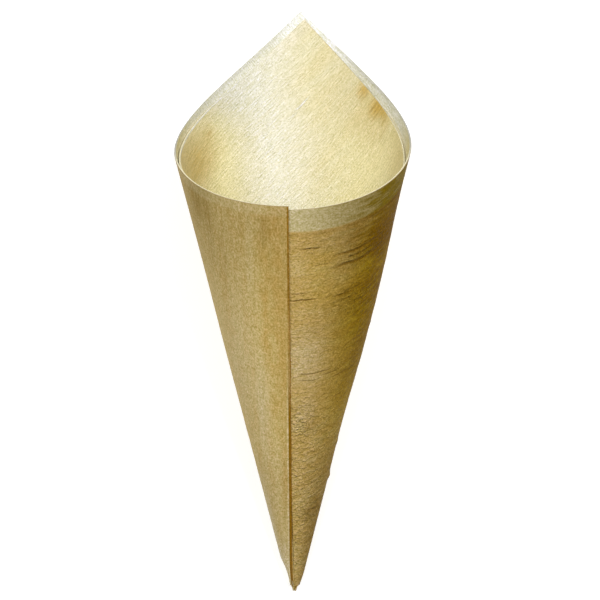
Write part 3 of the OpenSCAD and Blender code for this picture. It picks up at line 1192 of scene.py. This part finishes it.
class GlueBead:
    """The bead of glue in the corner beside the flap's edge.

    Across the bead the height falls from the flap's edge to the wall beside it as (1 - s)^FALL,
    and its width and height swell from little at the mouth to full in the lower half. Heights are
    shares of the step between the two turns.
    """

    STATIONS, ACROSS = 220, 9
    TOP, BOTTOM = 118 * MM, 9.4 * MM
    SWOLLEN_AT, SWELLS_OVER = 72 * MM, 52 * MM
    TAPERS_AT, TAPERS_OVER = 9.3 * MM, 2 * MM
    LEAST_WIDTH, SWOLLEN_WIDTH = 0.10 * MM, 0.22 * MM
    LEAST_HEIGHT, SWOLLEN_HEIGHT = 0.30, 0.60
    FALL = 1.6
    LUMPS = ((0.16, 2.1 * MM), (0.12, 0.83 * MM))
    TUCKED, SUNK = 0.04 * MM, 0.06 * MM

    def __init__(self, roll):
        self.roll = roll
        self.along = np.linspace(self.TOP, self.BOTTOM, self.STATIONS)[:, None]
        self.edge_az = roll.azimuth(roll.leaned(np.full_like(self.along, roll.whole), self.along))
        self.flap_depth = roll.pitch * roll.turns_in(self.edge_az)

    def strip(self, width, s, depth):
        """Places at the shares s of a width beside the flap's edge, that deep under its face."""
        az = self.edge_az + (width * s - self.TUCKED) / (self.along * math.sin(self.roll.mean))
        along, depth = np.broadcast_to(self.along, az.shape), np.broadcast_to(depth, az.shape)
        return self.roll.place(az, along, self.flap_depth + depth)

    def rings(self):
        """One ring of points for each station: over the bead's top and back under it."""
        along, pitch = self.along, self.roll.pitch
        s = np.linspace(0, 1, self.ACROSS)[None, :]
        swell = 1 - rise(along, self.SWOLLEN_AT, self.SWELLS_OVER)
        swell = swell * rise(along, self.TAPERS_AT, self.TAPERS_OVER)
        uneven = 1 + sum(height * np.sin(along / wave) for height, wave in self.LUMPS)
        width = self.LEAST_WIDTH + self.SWOLLEN_WIDTH * swell * uneven
        height = (self.LEAST_HEIGHT + self.SWOLLEN_HEIGHT * swell) * (1 - s) ** self.FALL
        top = self.strip(width, s, pitch * (1 - height))
        under = self.strip(width, s[:, ::-1], pitch + self.SUNK)
        return np.concatenate([top, under], 1)


class FOODCONE_OT_lay_glue(bpy.types.Operator):
    """Lay the bead of dried glue along the seam"""

    bl_idname = "foodcone.lay_glue"
    bl_label = "Lay Glue"

    def execute(self, context):
        scene = context.scene
        roll = Roll(scene.cone_sheet)
        seat_in_cad_box(roll)
        bead = tube("seam_glue", GlueBead(roll).rings())
        bead.data.materials.append(glue_material(scene.cone_finish))
        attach(bead, BODY)
        return {"FINISHED"}


def area_lamp(name, at, aim, width, radiance):
    """A square lamp whose face has the given radiance whatever its width."""
    lamp = bpy.data.lights.new(name, "AREA")
    lamp.shape = "SQUARE"
    lamp.size = width
    lamp.energy = POWER_PER_RADIANCE * radiance * width * width
    made = bpy.data.objects.new(name, lamp)
    bpy.context.scene.collection.objects.link(made)
    away = Vector(at) - Vector(aim)
    made.location = at
    made.rotation_mode = "QUATERNION"
    made.rotation_quaternion = away.to_track_quat("Z", "Y")


POWER_PER_RADIANCE = 4.0
DIRECT_RAYS = ("Is Camera Ray", "Is Glossy Ray", "Is Transmission Ray")
FLOOR_GREY = (0.88, 0.88, 0.88)
FLOOR_GAP = 0.02 * MM


def seen_directly(tree):
    """1 for rays from the camera or from a mirror or glass, and 0 for light that falls on things."""
    path = tree.add("ShaderNodeLightPath")
    total = 0.0
    for ray in DIRECT_RAYS:
        total = tree.math("ADD", total, path.outputs[ray], clamp=True)
    return total


def floor_material():
    """White board: it takes shadow, and what the lamps leave short of white is made up for the camera."""
    tree = MaterialTree("white_floor")
    board = tree.finish(FLOOR_GREY, roughness=0.9, gloss=0.0)
    place_on_floor = tree.add("ShaderNodeTexCoord").outputs["Object"]
    away = tree.add("ShaderNodeVectorMath", {0: place_on_floor}, operation="LENGTH").outputs["Value"]
    short_of_white = tree.span(away, start=0.25, end=1.6, at_start=0.36, at_end=0.72)
    lift = tree.times(seen_directly(tree), short_of_white)
    glow = tree.add("ShaderNodeEmission", {"Color": (1.0, 1.0, 1.0), "Strength": lift})
    both = tree.add("ShaderNodeAddShader", {0: tree.shader.outputs[0], 1: glow.outputs[0]})
    tree.feed(tree.output.inputs["Surface"], both.outputs[0])
    return board


class FOODCONE_OT_set_stage(bpy.types.Operator):
    """Set the floor, the lamps and the camera"""

    bl_idname = "foodcone.set_stage"
    bl_label = "Set Stage"

    def execute(self, context):
        scene = context.scene
        stage = scene.cone_stage
        self.lay_floor(stage.floor_half)
        self.light(scene, stage)
        self.aim_camera(scene, stage)
        scene.view_settings.view_transform = "Standard"
        return {"FINISHED"}

    def lay_floor(self, half):
        """A flat board just under the cone."""
        ground = CAD_BOX[0].z - FLOOR_GAP
        square = ((-half, -half), (half, -half), (half, half), (-half, half))
        corners = np.array([(x, y, ground) for x, y in square])
        board = mesh_object("floor", corners, np.array([[0, 1, 2, 3]]))
        board.data.materials.append(floor_material())

    def light(self, scene, stage):
        """A large lamp overhead towards the mouth and the left, a narrow one for the sheen, and the room."""
        area_lamp("key_lamp", stage.key_at, stage.lamp_aim, stage.key_width, stage.key)
        area_lamp("sheen_lamp", stage.sheen_at, stage.lamp_aim, stage.sheen_width, stage.sheen)
        scene.world = scene.world or bpy.data.worlds.new("room")
        scene.world.use_nodes = True
        scene.world.node_tree.nodes.clear()
        tree = Tree(scene.world.node_tree)
        strength = tree.mix_value(seen_directly(tree), stage.sky, 1.0)
        room = tree.add("ShaderNodeBackground", {"Color": (1.0, 1.0, 1.0), "Strength": strength})
        tree.add("ShaderNodeOutputWorld", {"Surface": room.outputs[0]})

    def aim_camera(self, scene, stage):
        """The camera over the seam, almost straight down, with the mouth at the picture's top."""
        data = bpy.data.cameras.new("camera")
        data.lens = stage.lens
        data.sensor_width = 36.0
        camera = bpy.data.objects.new("camera", data)
        scene.collection.objects.link(camera)
        ahead = (Vector(stage.camera_aim) - Vector(stage.camera_at)).normalized()
        hint = Vector((math.sin(stage.camera_roll), math.cos(stage.camera_roll), 0.0))
        right = ahead.cross(hint).normalized()
        up = right.cross(ahead)
        turn = Matrix((right, up, -ahead)).transposed()
        camera.matrix_world = Matrix.Translation(Vector(stage.camera_at)) @ turn.to_4x4()
        scene.camera = camera


class FOODCONE_PT_panel(bpy.types.Panel):
    """Settings and steps of the food cone"""

    bl_idname = "FOODCONE_PT_panel"
    bl_label = "Food Cone"
    bl_space_type = "VIEW_3D"
    bl_region_type = "UI"
    bl_category = "Food Cone"

    def draw(self, context):
        layout = self.layout
        for step in STEPS:
            layout.operator(step.bl_idname)
        for group in (context.scene.cone_sheet, context.scene.cone_finish, context.scene.cone_stage):
            box = layout.box()
            for name in group.__annotations__:
                box.prop(group, name)


STEPS = (FOODCONE_OT_roll_veneer, FOODCONE_OT_lay_glue, FOODCONE_OT_set_stage)
CLASSES = (SheetSettings, FinishSettings, StageSettings, *STEPS, FOODCONE_PT_panel)


def register():
    """Registers the classes and hangs their settings on the scene."""
    for kind in CLASSES:
        bpy.utils.register_class(kind)
    bpy.types.Scene.cone_sheet = PointerProperty(type=SheetSettings)
    bpy.types.Scene.cone_finish = PointerProperty(type=FinishSettings)
    bpy.types.Scene.cone_stage = PointerProperty(type=StageSettings)


def unregister():
    """Takes the settings and the classes away again."""
    del bpy.types.Scene.cone_stage
    del bpy.types.Scene.cone_finish
    del bpy.types.Scene.cone_sheet
    for kind in reversed(CLASSES):
        bpy.utils.unregister_class(kind)


def main():
    """Builds every piece and the stage."""
    register()
    bpy.ops.foodcone.roll_veneer()
    bpy.ops.foodcone.lay_glue()
    bpy.ops.foodcone.set_stage()


if __name__ == "__main__":
    main()
